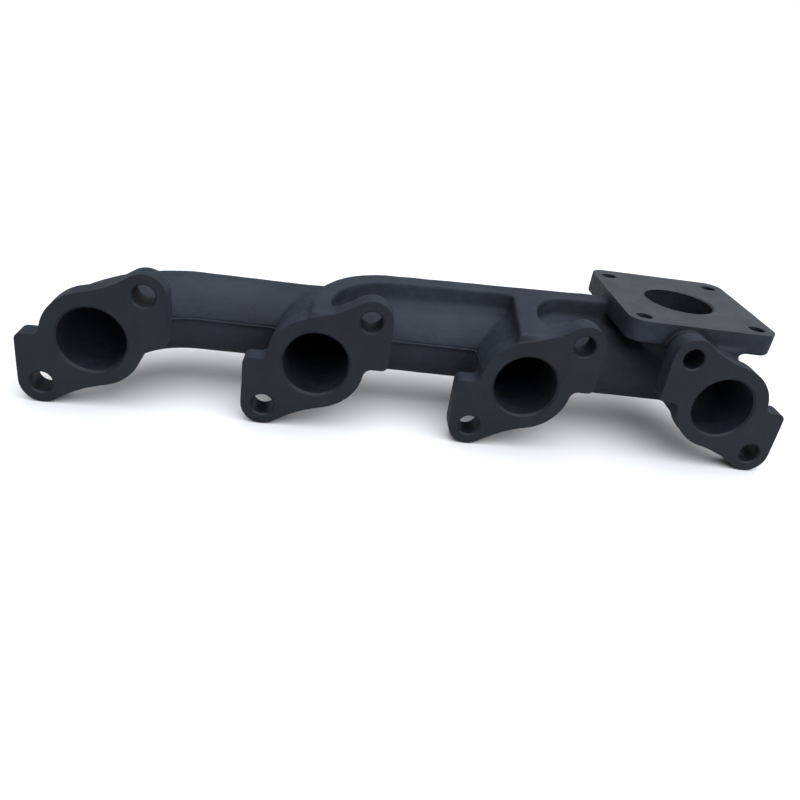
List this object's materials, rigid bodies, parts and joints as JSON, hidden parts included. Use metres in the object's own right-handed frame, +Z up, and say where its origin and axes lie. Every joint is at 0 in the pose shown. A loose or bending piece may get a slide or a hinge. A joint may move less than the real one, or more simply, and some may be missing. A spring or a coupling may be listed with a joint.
{
  "type": "exhaust manifold",
  "caption": "Cast-iron log exhaust manifold with four separate port flanges in a row, a curved stiffening rib along the log and a square turbocharger flange facing up at one end.",
  "frame": {"origin": "middle of the port row, on the face that bears on the cylinder head, at port-axis height", "axes": "+X along the row of ports towards the turbo flange, +Y away from the cylinder head, +Z up"},
  "size_m": [0.3594, 0.0865, 0.0681],
  "materials": {
    "as_cast_paint": "sand-cast iron under black high-temperature paint, fine grain, matt",
    "machined_flange_paint": "machined flange under the same black paint, smoother and flat"
  },
  "bodies": {
    "root": {"port_flange_1": "machined_flange_paint", "port_flange_2": "machined_flange_paint", "port_flange_3": "machined_flange_paint", "port_flange_4": "machined_flange_paint", "port_neck_1": "as_cast_paint", "port_neck_2": "as_cast_paint", "port_neck_3": "as_cast_paint", "port_neck_4": "as_cast_paint", "end_elbow_lower": "as_cast_paint", "end_elbow_upper": "as_cast_paint", "log_1_2_lower": "as_cast_paint", "log_1_2_upper": "as_cast_paint", "junction_2_lower": "as_cast_paint", "junction_2_upper": "as_cast_paint", "log_2_3_lower": "as_cast_paint", "log_2_3_upper": "as_cast_paint", "junction_3_lower": "as_cast_paint", "junction_3_upper": "as_cast_paint", "log_3_4_lower": "as_cast_paint", "log_3_4_upper": "as_cast_paint", "collector_lower": "as_cast_paint", "turbo_riser": "as_cast_paint", "saddle_rib_2": "as_cast_paint", "crest_rib_2_3": "as_cast_paint", "saddle_rib_3": "as_cast_paint", "crest_rib_3_4": "as_cast_paint", "turbo_flange": "machined_flange_paint"}
  },
  "joints": []
}
